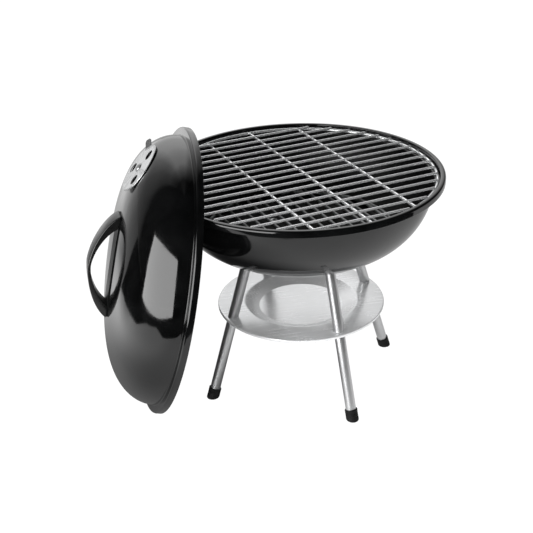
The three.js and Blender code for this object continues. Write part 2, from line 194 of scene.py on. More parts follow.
def even(curve, step):
    """The curve's points at an even spacing of about step."""
    L = [0.0]
    for a, b in zip(curve, curve[1:]):
        L.append(L[-1] + math.hypot(b[0] - a[0], b[1] - a[1]))
    n = max(2, int(L[-1] / step))
    out, j = [], 0
    for i in range(n + 1):
        s = L[-1] * i / n
        while j < len(L) - 2 and L[j + 1] < s:
            j += 1
        t = (s - L[j]) / max(L[j + 1] - L[j], 1e-9)
        out.append((curve[j][0] + (curve[j + 1][0] - curve[j][0]) * t, curve[j][1] + (curve[j + 1][1] - curve[j][1]) * t))
    return out


def dish(R, depth, p, q, n=1600):
    out = []
    for i in range(n + 1):
        t = i / n * PI / 2
        c, s = max(math.cos(t), 0), math.sin(t)
        out.append((0.0 if i == n else R * c ** (2 / p), depth * s ** (2 / q)))
    return out


def offset(curve, k):
    out = []
    for i, (r, z) in enumerate(curve):
        a, b = curve[max(i - 1, 0)], curve[min(i + 1, len(curve) - 1)]
        tx, tz = b[0] - a[0], b[1] - a[1]
        L = math.hypot(tx, tz)
        tx, tz = tx / L, tz / L
        if i == len(curve) - 1:
            out.append((0.0, z + k))
        elif i == 0:
            out.append((r + k, z))
        else:
            out.append((max(r + tz * k, 0), z - tx * k))
    return out


def height_on(curve, r):
    """Height of a dome curve that runs from the wall to the pole, at radius r."""
    lo, hi = 0, len(curve) - 1
    while hi - lo > 1:
        m = (lo + hi) // 2
        if curve[m][0] > r:
            lo = m
        else:
            hi = m
    a, b = curve[lo], curve[hi]
    t = 0 if a[0] == b[0] else (a[0] - r) / (a[0] - b[0])
    return a[1] + (b[1] - a[1]) * max(0, min(1, t))


def cylinder(r, z0, z1, seg=64, M=None):
    v, f = lathe([(0, z0), (r, z0), (r, z1), (0, z1)], seg, closed=False)
    return ([tuple(M @ Vector(p)) for p in v] if M else v), f


def cut(ob, cutters, M):
    """Takes the cutters, (vertices, faces) in the piece's own frame, out of ob, and keeps the smooth shading beside the cuts."""
    part = Part()
    for v, f in cutters:
        part.add(v, f)
    c = part.make('cutter', M, sharp=None)
    m = ob.modifiers.new('cut', 'BOOLEAN')
    m.object, m.operation, m.solver = c, 'DIFFERENCE', 'EXACT'
    bpy.context.view_layer.update()
    new = bpy.data.meshes.new_from_object(ob.evaluated_get(bpy.context.evaluated_depsgraph_get()))
    old = ob.data
    ob.modifiers.clear()
    ob.data = new
    bpy.data.objects.remove(c)
    vo = [v.co.copy() for v in old.vertices]
    vn = [v.normal.copy() for v in old.vertices]
    po = [tuple(p.vertices) for p in old.polygons]
    tree = BVHTree.FromPolygons(vo, po)
    near = {}

    def normal_at(i):
        if i not in near:
            loc, _, k, _ = tree.find_nearest(new.vertices[i].co)
            w = poly_3d_calc([vo[j] for j in po[k]], loc)
            n = Vector((0, 0, 0))
            for j, x in zip(po[k], w):
                n += vn[j] * x
            near[i] = n.normalized()
        return near[i]

    out = [None] * len(new.loops)
    for p in new.polygons:
        for li in p.loop_indices:
            n = normal_at(new.loops[li].vertex_index)
            out[li] = n if n.dot(p.normal) > 0.75 else p.normal.copy()
    new.shade_smooth()
    new.normals_split_custom_set(out)
    return ob


# ------------------------------------------------------------------ materials
def material(name):
    m = bpy.data.materials.new(name)
    m.use_nodes = True
    nt = m.node_tree
    nt.nodes.clear()
    out = nt.nodes.new('ShaderNodeOutputMaterial')
    b = nt.nodes.new('ShaderNodeBsdfPrincipled')
    nt.links.new(b.outputs[0], out.inputs[0])
    return m, nt, b


def coords(nt, scale=(1, 1, 1), rot=(0, 0, 0), frame=None):
    tc = nt.nodes.new('ShaderNodeTexCoord')
    vec = tc.outputs['Object']
    if frame:
        # turn into the piece's own axes first
        tn = nt.nodes.new('ShaderNodeMapping')
        tn.inputs['Rotation'].default_value = frame.to_3x3().transposed().to_euler('XYZ')
        nt.links.new(vec, tn.inputs['Vector'])
        vec = tn.outputs[0]
    mp = nt.nodes.new('ShaderNodeMapping')
    mp.inputs['Scale'].default_value = scale
    mp.inputs['Rotation'].default_value = rot
    nt.links.new(vec, mp.inputs['Vector'])
    return mp.outputs[0]


def noise(nt, vec, scale, detail=3, rough=0.5, dist=0.0):
    n = nt.nodes.new('ShaderNodeTexNoise')
    n.inputs['Scale'].default_value = scale
    n.inputs['Detail'].default_value = detail
    n.inputs['Roughness'].default_value = rough
    n.inputs['Distortion'].default_value = dist
    nt.links.new(vec, n.inputs['Vector'])
    return n.outputs['Fac']


def span(nt, fac, a, b, lo=0.3, hi=0.7):
    m = nt.nodes.new('ShaderNodeMapRange')
    m.inputs['From Min'].default_value, m.inputs['From Max'].default_value = lo, hi
    m.inputs['To Min'].default_value, m.inputs['To Max'].default_value = a, b
    nt.links.new(fac, m.inputs['Value'])
    return m.outputs[0]


def ramp(nt, fac, stops):
    r = nt.nodes.new('ShaderNodeValToRGB')
    e = r.color_ramp.elements
    while len(e) < len(stops):
        e.new(0.5)
    for el, (pos, col) in zip(e, stops):
        el.position = pos
        el.color = (*col, 1) if len(col) == 3 else col
    nt.links.new(fac, r.inputs[0])
    return r.outputs[0]


def bump(nt, height, strength, distance, chain=None):
    n = nt.nodes.new('ShaderNodeBump')
    n.inputs['Strength'].default_value = strength
    n.inputs['Distance'].default_value = distance
    nt.links.new(height, n.inputs['Height'])
    if chain:
        nt.links.new(chain, n.inputs['Normal'])
    return n.outputs[0]


def add_math(nt, a, b, op='ADD'):
    m = nt.nodes.new('ShaderNodeMath')
    m.operation = op
    nt.links.new(a, m.inputs[0])
    nt.links.new(b, m.inputs[1])
    return m.outputs[0]


def g(x, t=0.0):
    return (x * (1 - t), x, x * (1 + t))


def enamel(name, r0=0.055, r1=0.115, ior=1.5, coat=0.30):
    # glossy black vitreous enamel: faint orange peel, slow waves of the pressed sheet, specks of dust
    m, nt, b = material(name)
    v = coords(nt)
    cloud = noise(nt, v, 34, 4, 0.55)
    nt.links.new(ramp(nt, cloud, [(0.3, g(0.001, 0.05)), (0.7, g(0.003, 0.05))]), b.inputs['Base Color'])
    peel = noise(nt, v, 420, 2, 0.5)
    wave = noise(nt, v, 22, 2, 0.5)
    fine = noise(nt, v, 2600, 2, 0.6)
    dust = span(nt, noise(nt, v, 900, 1, 0.4), 0.0, 0.16, 0.71, 0.80)
    base = span(nt, cloud, r0, r1)
    nt.links.new(add_math(nt, base, dust), b.inputs['Roughness'])
    n1 = bump(nt, wave, 0.30, 0.0012)
    n2 = bump(nt, peel, 0.16, 0.00010, n1)
    n3 = bump(nt, fine, 0.06, 0.00003, n2)
    nt.links.new(n3, b.inputs['Normal'])
    b.inputs['IOR'].default_value = ior
    b.inputs['Coat Weight'].default_value = coat
    b.inputs['Coat Roughness'].default_value = 0.05
    return m


def metal(name, lo, hi, rlo, rhi, stretch, tint=0.0, grain=0.25, depth=0.00004, blotch=60.0, scratches=True, frame=None, metallic=1.0):
    # drawn, brushed or rolled metal: streaks along one axis, soft blotches in the plating, hairline scratches
    m, nt, b = material(name)
    v = coords(nt)
    sv = coords(nt, stretch, frame=frame)
    streak = noise(nt, sv, 1.0, 4, 0.6)
    spots = noise(nt, v, blotch, 4, 0.6)
    tone = add_math(nt, span(nt, streak, 0.0, 0.5), span(nt, spots, 0.0, 0.5))
    nt.links.new(ramp(nt, tone, [(0.12, g(lo, tint)), (0.88, g(hi, tint))]), b.inputs['Base Color'])
    r = span(nt, add_math(nt, span(nt, streak, 0, 0.55), span(nt, spots, 0, 0.45)), rlo, rhi, 0.1, 0.9)
    nt.links.new(r, b.inputs['Roughness'])
    n1 = bump(nt, streak, grain, depth)
    if scratches:
        sc = span(nt, noise(nt, coords(nt, tuple(3.1 * s for s in stretch), (0.25, 0.3, 0.35), frame), 1.0, 1, 0.3), 0.0, 1.0, 0.64, 0.72)
        n1 = bump(nt, sc, 0.10, 0.00003, n1)
    n2 = bump(nt, noise(nt, v, 1500, 2, 0.5), 0.05, 0.00003, n1)
    nt.links.new(n2, b.inputs['Normal'])
    b.inputs['Metallic'].default_value = metallic
    return m


def polymer(name, lo, hi, rlo, rhi, cell, depth, ior=1.5):
    # moulded plastic or rubber: spark-eroded grain, scuffs, slight bloom
    m, nt, b = material(name)
    v = coords(nt)
    vo = nt.nodes.new('ShaderNodeTexVoronoi')
    vo.inputs['Scale'].default_value = cell
    nt.links.new(v, vo.inputs['Vector'])
    cloud = noise(nt, v, 70, 4, 0.6)
    scuff = noise(nt, coords(nt, (40, 400, 400)), 1.0, 2, 0.5)
    nt.links.new(ramp(nt, add_math(nt, span(nt, cloud, 0, 0.6), span(nt, scuff, 0, 0.4)), [(0.15, g(lo)), (0.85, g(hi))]), b.inputs['Base Color'])
    nt.links.new(span(nt, cloud, rlo, rhi), b.inputs['Roughness'])
    n1 = bump(nt, vo.outputs['Distance'], 0.35, depth)
    n2 = bump(nt, noise(nt, v, 900, 3, 0.6), 0.25, depth, n1)
    nt.links.new(n2, b.inputs['Normal'])
    b.inputs['IOR'].default_value = ior
    return m


M_ENAMEL = enamel('black_enamel')
M_INSIDE = enamel('black_enamel_inside', 0.34, 0.48, 1.33, 0.0)
M_CHROME = metal('chromed_wire', 0.86, 0.98, 0.14, 0.24, (500, 500, 500), 0.01, 0.10, 0.00002, 220, False, metallic=0.76)
M_COAL = metal('coal_wire', 0.30, 0.46, 0.28, 0.42, (500, 500, 500), 0.01, 0.14, 0.00003, 160, False)
LEG_M = [T(AXIS_X, 0, 0) @ RZ(az * RAD) @ T(LEG_R_PLATE, 0, PLATE_Z) @ RY(-LEAN) for az in LEG_AZ]
M_TUBE = [metal(f'brushed_tube_{i + 1}', 0.64, 0.80, 0.32, 0.44, (1500, 1500, 14), 0.008, 0.25, 0.00003, 26, frame=LEG_M[i], metallic=0.95) for i in range(4)]
M_PLATE = metal('rolled_plate', 0.76, 0.95, 0.18, 0.30, (14, 1100, 1100), 0.01, 0.14, 0.00003, 30, metallic=0.44)
M_VENT = metal('vent_steel', 0.60, 0.74, 0.20, 0.32, (16, 900, 900), 0.008, 0.22, 0.00003, 90)
M_LID_VENT = metal('lid_vent_steel', 0.56, 0.72, 0.20, 0.32, (16, 900, 900), 0.008, 0.22, 0.00003, 90, frame=LID @ RZ(LID_SPIN) @ RY(VENT_TILT) @ RZ(0.6))
M_STEEL = metal('bright_steel', 0.50, 0.66, 0.20, 0.34, (700, 700, 700), 0.01, 0.15, 0.00003, 260)
M_RIVET = metal('dull_rivet', 0.42, 0.56, 0.40, 0.52, (700, 700, 700), 0.008, 0.15, 0.00003, 260)
M_NYLON = polymer('black_nylon', 0.003, 0.008, 0.15, 0.23, 1500, 0.00003)
M_RUBBER = polymer('black_rubber', 0.003, 0.009, 0.55, 0.75, 1900, 0.00012, 1.32)

# ------------------------------------------------------------------ camera
CAM_AZ, CAM_EL, CAM_ROLL = -11.02 * RAD, 0.4695, -0.0305
back = Vector((math.sin(CAM_AZ) * math.cos(CAM_EL), -math.cos(CAM_AZ) * math.cos(CAM_EL), math.sin(CAM_EL)))
fwd = -back
right = fwd.cross(Vector((0, 0, 1))).normalized()
up = right.cross(fwd)
cx = right * math.cos(CAM_ROLL) + up * math.sin(CAM_ROLL)
cy = -right * math.sin(CAM_ROLL) + up * math.cos(CAM_ROLL)
cam_data = bpy.data.cameras.new('camera')
cam_data.sensor_width = 36.0
cam_data.lens = 70.35
cam_data.clip_start, cam_data.clip_end = 0.02, 60
cam = bpy.data.objects.new('camera', cam_data)
scene.collection.objects.link(cam)
cam.matrix_world = Matrix(((cx.x, cy.x, back.x, -0.22693), (cx.y, cy.y, back.y, -1.17349), (cx.z, cy.z, back.z, 0.77061), (0, 0, 0, 1)))
scene.camera = cam
bpy.context.scene.camera = cam


def piece(ob, body, slot, mat, *nodes):
    ob.data.materials.clear()
    ob.data.materials.append(mat)
    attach(ob, body)
    if nodes:
        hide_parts(*nodes)
    return ob


# ------------------------------------------------------------------ bowl
raw = dish(BOWL_R, BOWL_DEPTH, BOWL_P, BOWL_Q)


def bowl_curve(k, flat_z):
    """Wall to the edge of the flat patch, moved outwards by k."""
    c = [(r, WALL_TOP - d) for r, d in raw]
    o = []
    for i, (r, z) in enumerate(c):
        a, b = c[max(i - 1, 0)], c[min(i + 1, len(c) - 1)]
        tx, tz = b[0] - a[0], b[1] - a[1]
        L = math.hypot(tx, tz)
        o.append((r + (-tz / L) * k, z + (tx / L) * k) if i else (r + k, z))
    o = [p for p in o if p[0] > 63]
    r0, z0 = o[-1]
    s0 = (o[-1][1] - o[-2][1]) / (o[-1][0] - o[-2][0])
    w = r0 - BOWL_FLAT_R
    for j in range(1, 25):
        t = j / 24
        h00, h10, h01 = 2 * t ** 3 - 3 * t * t + 1, t ** 3 - 2 * t * t + t, -2 * t ** 3 + 3 * t * t
        o.append((r0 - w * t, h00 * z0 + h10 * (-w * s0) + h01 * flat_z))
    return o


outer = even(bowl_curve(0, BOTTOM), 2.0)
inner = even(bowl_curve(-SHEET, BOTTOM + SHEET), 2.0)
rim = fillet([
    (BOWL_R, WALL_TOP - 8, 0),
    (BOWL_R, WALL_TOP - 0.8, 1.4),
    (SEAT_R, WALL_TOP - 0.8, 2.0),
    (SEAT_R, RIM_TOP - SHEET, 0.4),
    (RIM_R - SHEET, RIM_TOP - SHEET, 1.8),
    (RIM_R - SHEET, RIM_TOP - RIM_DROP, 0.55),
    (RIM_R, RIM_TOP - RIM_DROP, 0.55),
    (RIM_R, RIM_TOP, 3.0),
    (SEAT_R - SHEET, RIM_TOP, 1.7),
    (SEAT_R - SHEET, RIM_TOP - SEAT_DROP, 0.8),
    (BOWL_R - SHEET, RIM_TOP - SEAT_DROP, 2.4),
    (BOWL_R - SHEET, RIM_TOP - SEAT_DROP - 8, 0),
])[1:-1]
up_wall = [p for p in outer[::-1] if p[1] < WALL_TOP - 3.2]
down_wall = [p for p in inner if p[1] < RIM_TOP - SEAT_DROP - 3.4]
flat_out = [(BOWL_FLAT_R - 6 * i, BOTTOM) for i in range(7, 0, -1)]
flat_in = [(BOWL_FLAT_R - 6 * i, BOTTOM + SHEET) for i in range(1, 8)]
hole_r = RIVET_D / 2 + GAP
prof = [(hole_r, BOTTOM)] + [p for p in flat_out if p[0] > hole_r + 0.5] + up_wall + rim + down_wall + \
    [p for p in flat_in if p[0] > hole_r + 0.5] + [(hole_r, BOTTOM + SHEET)]
bowl = Part().add(*lathe(prof, 240)).make('bowl_shell', BASE, sharp=50)
legM = lambda az: RZ(az * RAD) @ T(LEG_R_PLATE, 0, PLATE_Z) @ RY(-LEAN)
T_BOWL = (WALL_TOP - 92 - PLATE_Z) / math.cos(LEAN)
T_FLOOR = -PLATE_Z / math.cos(LEAN)
cutters = [cylinder(VENT_HOLE_D / 2, BOTTOM - 5, BOTTOM + 5, 48, T(VENT_PCD_R * math.cos(a), VENT_PCD_R * math.sin(a), 0))
           for a in (PI / 3, PI, 5 * PI / 3)]
cutters += [cylinder(3.3, T_BOWL - 20, T_BOWL + 25, 32, legM(az)) for az in LEG_AZ]
cut(bowl, cutters, BASE)
piece(bowl, 'base', 'black_enamel', M_ENAMEL, 'bowl')
bowl.data.materials.append(M_INSIDE)
for p in bowl.data.polygons:
    # the inside below the grate seat has a duller coat
    dx, dy = p.center.x - AXIS_X * MM, p.center.y
    r = math.hypot(dx, dy)
    inward = p.normal.x * dx / r + p.normal.y * dy / r < -0.05 or p.normal.z > 0.3
    if inward and p.center.z < (RIM_TOP - SEAT_DROP - 1.0) * MM:
        p.material_index = 1

# ------------------------------------------------------------------ lid
lid_curve = [(r, z + LID_SKIRT + 0.6) for r, z in dish(LID_R, LID_RISE, LID_P, LID_Q)]
lid_top = LID_SKIRT + 0.6 + LID_RISE
lid_in = offset(lid_curve, -SHEET)
o_pts = even(lid_curve, 1.9)
i_pts = even(lid_in, 1.9)
N_OUT = None
low = fillet([
    (LID_R - SHEET, 16, 0),
    (LID_R - SHEET, LID_SKIRT - SHEET, 2.2),
    (LID_RIM_R - SHEET, LID_SKIRT - SHEET, 1.3),
    (LID_RIM_R - SHEET, 0.0, 0.55),
    (LID_RIM_R, 0.0, 0.55),
    (LID_RIM_R, LID_SKIRT, 2.5),
    (LID_R, LID_SKIRT + 0.2, 1.2),
    (LID_R, 16, 0),
])[1:-1]
o_side = [p for p in o_pts if p[1] > LID_SKIRT + 2.0]
i_side = [p for p in i_pts[::-1] if p[1] > LID_SKIRT + 1.6]
lid_prof = low + o_side + i_side
n_low = len(low)
v, f = lathe(lid_prof, 240)
surface_at = lambda rho: height_on(lid_curve, rho)
VENT = RZ(LID_SPIN) @ T(VENT_AT, 0, surface_at(VENT_AT)) @ RY(VENT_TILT) @ T(0, 0, -VENT_SINK)
VENT_INV = VENT.inverted()


def smin(a, b, k):
    h = max(0.0, min(1.0, 0.5 + 0.5 * (b - a) / k))
    return b + (a - b) * h - k * h * (1 - h)


# the vent seat is pressed flat into the dome, outside and inside alike
out_z = {}
pressed = []
for p in v:
    q = VENT_INV @ Vector(p)
    if q.z > -4.5 and math.hypot(q.x, q.y) < 80 and p[2] > LID_SKIRT + 3:
        rho = math.hypot(p[0], p[1])
        is_outer = p[2] > height_on(lid_curve, rho) - 0.6 if rho < LID_R - 1.5 else rho > LID_R - 0.6
        q.z = smin(q.z, 0.0 if is_outer else -SHEET, 1.8)
        pressed.append(tuple(VENT @ q))
    else:
        pressed.append(p)
lid = Part().add(pressed, f).make('lid_shell', LID, sharp=50)
cutters = [cylinder(VENT_HOLE_D / 2, -12, 12, 48, VENT @ T(VENT_PCD_R * math.cos(a), VENT_PCD_R * math.sin(a), 0))
           for a in (VENT_SPIN, VENT_SPIN + 2 * PI / 3, VENT_SPIN + 4 * PI / 3)]
cutters.append(cylinder(hole_r, -12, 12, 32, VENT))
cutters += [cylinder(2.7, 40, 120, 32, RZ(LID_SPIN) @ T(s * SCREW_AT, 0, 0)) for s in (-1, 1)]
cut(lid, cutters, LID)
piece(lid, 'lid_body', 'black_enamel', M_ENAMEL, 'lid')


# ------------------------------------------------------------------ dampers and rivets
def damper(name, M, tab_dir, body, node, mat):
    disc = Part().add(*lathe(fillet([
        (hole_r, 0, 0.1), (DAMPER_R - 0.1, 0, 0.1), (DAMPER_R - 0.1, DAMPER_T, 0.85),
        (DAMPER_R - 3.4, DAMPER_T, 0.1), (hole_r + 4, DAMPER_T, 0.1), (hole_r, DAMPER_T, 0.1)]), 128))
    ob = disc.make(name, M, sharp=40)
    cut(ob, [cylinder(VENT_HOLE_D / 2, -2, 3, 48, T(VENT_PCD_R * math.cos(a), VENT_PCD_R * math.sin(a), 0))
             for a in (0, 2 * PI / 3, 4 * PI / 3)], M)
    # finger tab: the sheet turns up through a small radius, with round corners
    lean, rb, h = TAB_LEAN, 3.0, DAMPER_T / 2
    turn = PI / 2 - lean
    x_end = DAMPER_R - 2.2
    tip = Vector((x_end + TAB_H * math.sin(lean), h + TAB_H * math.cos(lean)))
    d_up = Vector((math.sin(lean), math.cos(lean)))
    # the line of the blade meets the disc's mid plane at xm
    zc, xm = h, x_end
    tl = rb * math.tan(turn / 2)
    path = [(Vector((xm - tl - 3.0, zc)), Vector((0, 1)))]
    c = Vector((xm - tl, zc + rb))
    for j in range(9):
        t = turn * j / 8
        path.append((c + Vector((math.sin(t), -math.cos(t))) * rb, Vector((-math.sin(t), math.cos(t)))))
    start = path[-1][0]
    L = (tip - start).length
    nb = Vector((-math.cos(lean), math.sin(lean)))
    rc = 3.6
    for j in range(1, 13):
        path.append((start + d_up * (L - rc) * j / 12, nb))
    for j in range(1, 9):
        path.append((start + d_up * (L - rc + rc * math.sin(PI / 2 * j / 8)), nb))
    vs, fs = [], []
    total = 0
    for j, (p, n) in enumerate(path):
        d_tip = (tip - p).length if j > 9 else 99
        w = TAB_W / 2 - (rc - math.sqrt(max(rc * rc - (rc - d_tip) ** 2, 0)) if d_tip < rc else 0)
        w = max(w, 0.4)
        # the section: a thin bar with round edges
        for u, t in ((-w, -h + 0.25), (-w + 0.25, -h), (w - 0.25, -h), (w, -h + 0.25), (w, h - 0.25), (w - 0.25, h), (-w + 0.25, h), (-w, h - 0.25)):
            q = p + n * t
            vs.append((q.x, u, q.y))
    k = 8
    for j in range(len(path) - 1):
        for i in range(k):
            m = (i + 1) % k
            fs.append((j * k + i, (j + 1) * k + i, (j + 1) * k + m, j * k + m))
    fs.append(tuple(range(k)))
    fs.append(tuple(reversed(range((len(path) - 1) * k, len(path) * k))))
    tab = Part().add(vs, fs, RZ(tab_dir * RAD)).make(name + '_tab', M, sharp=30)
    piece(ob, body, 'vent_steel', mat, node)
    piece(tab, body, 'vent_steel', mat)
    return ob


def rivet(name, z0, z1, M, body, node, mat=M_STEEL):
    hd, ht = 5.5, 2.2
    dome = lambda z, s: [(hd * math.cos(t), z + s * (0.25 + (ht - 0.25) * math.sin(t))) for t in [PI / 2 * j / 9 for j in range(9)]]
    up_ = [(hd, z1)] + dome(z1, 1) + [(0, z1 + ht)]
    dn_ = [(0, z0 - ht)] + dome(z0, -1)[::-1] + [(hd, z0)]
    pr = dn_ + [(RIVET_D / 2, z0), (RIVET_D / 2, z1)] + up_
    ob = Part().add(*lathe(pr, 40, closed=False)).make(name, M, sharp=40)
    return piece(ob, body, 'bright_steel', mat, node)


damper('bowl_damper', BASE @ T(0, 0, BOTTOM - GAP) @ RX(PI), -60, 'bowl_vent', 'bowl_vent_damper', M_VENT)
rivet('bowl_rivet', BOTTOM - GAP - DAMPER_T - GAP, BOTTOM + SHEET + GAP, BASE, 'base', 'bowl_vent_rivet')
damper('lid_damper', LID @ VENT @ T(0, 0, GAP) @ RZ(VENT_SPIN), 41 - VENT_SPIN / RAD, 'lid_vent', 'lid_vent_damper', M_LID_VENT)
rivet('lid_rivet', -SHEET - GAP, GAP + DAMPER_T + GAP, LID @ VENT, 'lid_body', 'lid_vent_rivet', M_RIVET)


# ------------------------------------------------------------------ legs
def trimmed(rows, seg, lo, hi, lo_cap=True, hi_cap=True):
    """A tube along +Z whose ends follow lo(x, y) and hi(x, y); rows are (end, distance, radius)."""
    v, f = [], []
    for end, d, r in rows:
        for k in range(seg):
            a = 2 * PI * k / seg
            x, y = r * math.cos(a), r * math.sin(a)
            z = lo(x, y) + d if end == 'lo' else hi(x, y) - d if end == 'hi' else d
            v.append((x, y, z))
    n = len(rows)
    for i in range(n - 1):
        for k in range(seg):
            m = (k + 1) % seg
            f.append((i * seg + k, i * seg + m, (i + 1) * seg + m, (i + 1) * seg + k))
    if lo_cap:
        f.append(tuple(reversed(range(seg))))
    if hi_cap:
        f.append(tuple(range((n - 1) * seg, n * seg)))
    return v, f


# where the leg's line at (x, y) of its own frame reaches a level, or the bowl
sL, cL = math.sin(LEAN), math.cos(LEAN)
BOW_OFF = even(bowl_curve(GAP + 0.35, BOTTOM - GAP - 0.35), 1.0)


def at_level(level):
    return lambda x, y: (level - PLATE_Z - x * sL) / cL


def bowl_z(r):
    if r < BOWL_FLAT_R:
        return BOTTOM - GAP - 0.35
    return height_on(BOW_OFF, r)


bow_cache = {}


def at_bowl(x, y):
    key = (round(x, 4), round(y, 4))
    if key not in bow_cache:
        a, b = T_BOWL - 30, T_BOWL + 15
        for _ in range(40):
            t = (a + b) / 2
            px = LEG_R_PLATE + x * cL - t * sL
            pz = PLATE_Z + x * sL + t * cL
            if pz < bowl_z(math.hypot(px, y)):
                a = t
            else:
                b = t
        bow_cache[key] = a
    return bow_cache[key]


R = LEG_D / 2
for i, az in enumerate(LEG_AZ):
    n = i + 1
    M = BASE @ legM(az)
    mid = [('mid', t, R) for t in (12, 26, 40, 54)]
    ob = Part().add(*trimmed(
        [('lo', 0, R - 1.0), ('lo', 0.02, R - 0.62), ('lo', 0.16, R - 0.26), ('lo', 0.42, R - 0.06), ('lo', 0.75, R)] + mid +
        [('hi', 1.2, R), ('hi', 0.8, R), ('hi', 0.3, R - 0.10), ('hi', 0.05, R - 0.38), ('hi', 0.0, R - 1.0)],
        56, at_level(PLATE_Z + GAP), at_bowl)).make(f'leg_{n}_upper', M, sharp=40)
    piece(ob, 'base', 'leg_tube', M_TUBE[i], f'leg_upper_{n}')
    T_END = T_FLOOR + 5.8
    mid = [('mid', t, R) for t in (T_FLOOR + 15, T_FLOOR + 35, T_FLOOR + 60, T_FLOOR + 85)]
    ob = Part().add(*trimmed(
        [('mid', T_END, R - 1.0), ('mid', T_END + 0.4, R)] + mid +
        [('hi', 0.75, R), ('hi', 0.42, R - 0.06), ('hi', 0.16, R - 0.26), ('hi', 0.02, R - 0.62), ('hi', 0, R - 1.0)],
        56, at_level(0), at_level(PLATE_Z - PLATE_T - GAP))).make(f'leg_{n}_lower', M, sharp=40)
    piece(ob, 'base', 'leg_tube', M_TUBE[i], f'leg_lower_{n}')
    # rubber foot: a rolled lip, three soft ribs and a rounded, flat sole
    C = CAP_D / 2
    top = T_FLOOR + CAP_L
    rows = [('lo', 0, 0.6), ('lo', 0, C - 2.0), ('lo', 0.06, C - 1.35), ('lo', 0.25, C - 0.8), ('lo', 0.62, C - 0.38), ('lo', 1.2, C - 0.1), ('lo', 1.9, C - 0.04)]
    for c0 in (4.6, 6.9, 9.2):
        rows += [('mid', T_FLOOR + c0 - 1.0, C - 0.04), ('mid', T_FLOOR + c0 - 0.5, C - 0.22), ('mid', T_FLOOR + c0, C - 0.48), ('mid', T_FLOOR + c0 + 0.5, C - 0.22)]
    rows += [('mid', T_FLOOR + 10.4, C - 0.05), ('mid', T_FLOOR + 11.4, C - 0.10), ('mid', top - 2.2, C - 0.16), ('mid', top - 1.8, C - 0.02), ('mid', top - 1.2, C), ('mid', top - 0.55, C - 0.05),
             ('mid', top - 0.15, C - 0.36), ('mid', top, C - 0.75), ('mid', top - 0.1, R + GAP + 0.15), ('mid', top - 0.6, R + GAP), ('mid', top - 4, R + GAP)]
    v, f = trimmed(rows, 56, at_level(0), None, True, False)
    ob = Part().add(v, f).make(f'foot_{n}', M, sharp=45)
    piece(ob, 'base', 'black_rubber', M_RUBBER, f'foot_cap_{n}')
    # pan head with a hexagon recess, inside the bowl
    H0 = T_BOWL + 2.9
    hexa = lambda a: 1.7 * math.cos(PI / 6) / math.cos((a % (PI / 3)) - PI / 6)
    pr = [(0, H0 + 1.2), (hexa, H0 + 1.2), (hexa, H0 + 2.75), (lambda a: hexa(a) + 0.25, H0 + 3.0)] + \
         [(3.4 + 2.6 * math.sin(t), H0 + 0.9 + 2.1 * math.cos(t)) for t in [PI / 2 * j / 8 for j in range(9)]] + \
         [(6.0, H0 + 0.2), (5.7, H0), (3.0, H0), (3.0, T_BOWL - 12), (0, T_BOWL - 12)]
    ob = Part().add(*lathe(pr[::-1], 48, closed=False)).make(f'bolt_{n}', M, sharp=35)
    piece(ob, 'base', 'bright_steel', M_STEEL, f'leg_bolt_{n}')
    frame["nodes"][f'leg_joiner_{n}'].data.materials.clear()
    frame["nodes"][f'leg_joiner_{n}'].data.materials.append(M_STEEL)

# ------------------------------------------------------------------ ash plate
zt, zb = PLATE_Z, PLATE_Z - PLATE_T
plate_prof = fillet([
    (30, zt - DISH_DEPTH, 0), (DISH_FLOOR_R, zt - DISH_DEPTH, 2.2), (DISH_R, zt - 0.35, 0.9), (DISH_R + 1.6, zt, 0.9),
    (PLATE_R, zt, 1.3), (PLATE_R, zb - 2.2, 0.5), (PLATE_R - 1.2, zb - 2.2, 0.5), (PLATE_R - 1.2, zb, 0.7),
    (DISH_R + 1.2, zb, 0.9), (DISH_R - 0.6, zb - 0.5, 0.9), (DISH_FLOOR_R - 0.7, zb - DISH_DEPTH, 2.0), (30, zb - DISH_DEPTH, 0)])
top_in = [(r, zt - DISH_DEPTH) for r in (0, 8, 16, 24)]
bot_in = [(r, zb - DISH_DEPTH) for r in (24, 16, 8, 0)]
v, f = lathe((top_in + plate_prof + bot_in)[::-1], 200, closed=False)
ob = Part().add(v, f).make('ash_plate_sheet', BASE, sharp=45)
piece(ob, 'base', 'plated_steel', M_PLATE, 'ash_plate')


# ------------------------------------------------------------------ wire grates
def rod(p0, p1, r, sides=14):
    a, b = Vector(p0), Vector(p1)
    L = (b - a).length
    q = (b - a).to_track_quat('Z', 'Y').to_matrix().to_4x4()
    M = T(*a) @ q
    pr = [(0, 0), (r * 0.45, 0), (r * 0.8, r * 0.14), (r * 0.96, r * 0.36), (r, r * 0.66),
          (r, L - r * 0.66), (r * 0.96, L - r * 0.36), (r * 0.8, L - r * 0.14), (r * 0.45, L), (0, L)]
    v, f = lathe(pr, sides, closed=False)
    return [tuple(M @ Vector(p)) for p in v], f


def torus(Rr, r, z, seg=220, sides=14):
    return lathe([(Rr + r * math.cos(2 * PI * j / sides), z + r * math.sin(2 * PI * j / sides)) for j in range(sides)], seg)


def bead(p, rx, rz):
    v, f = lathe([(rx * math.sin(t), -rz * math.cos(t)) if 0 < j < 6 else (0, -rz if j == 0 else rz) for j, t in enumerate([PI * k / 6 for k in range(7)])], 10, closed=False)
    return [(x + p[0], y + p[1], z + p[2]) for x, y, z in v], f


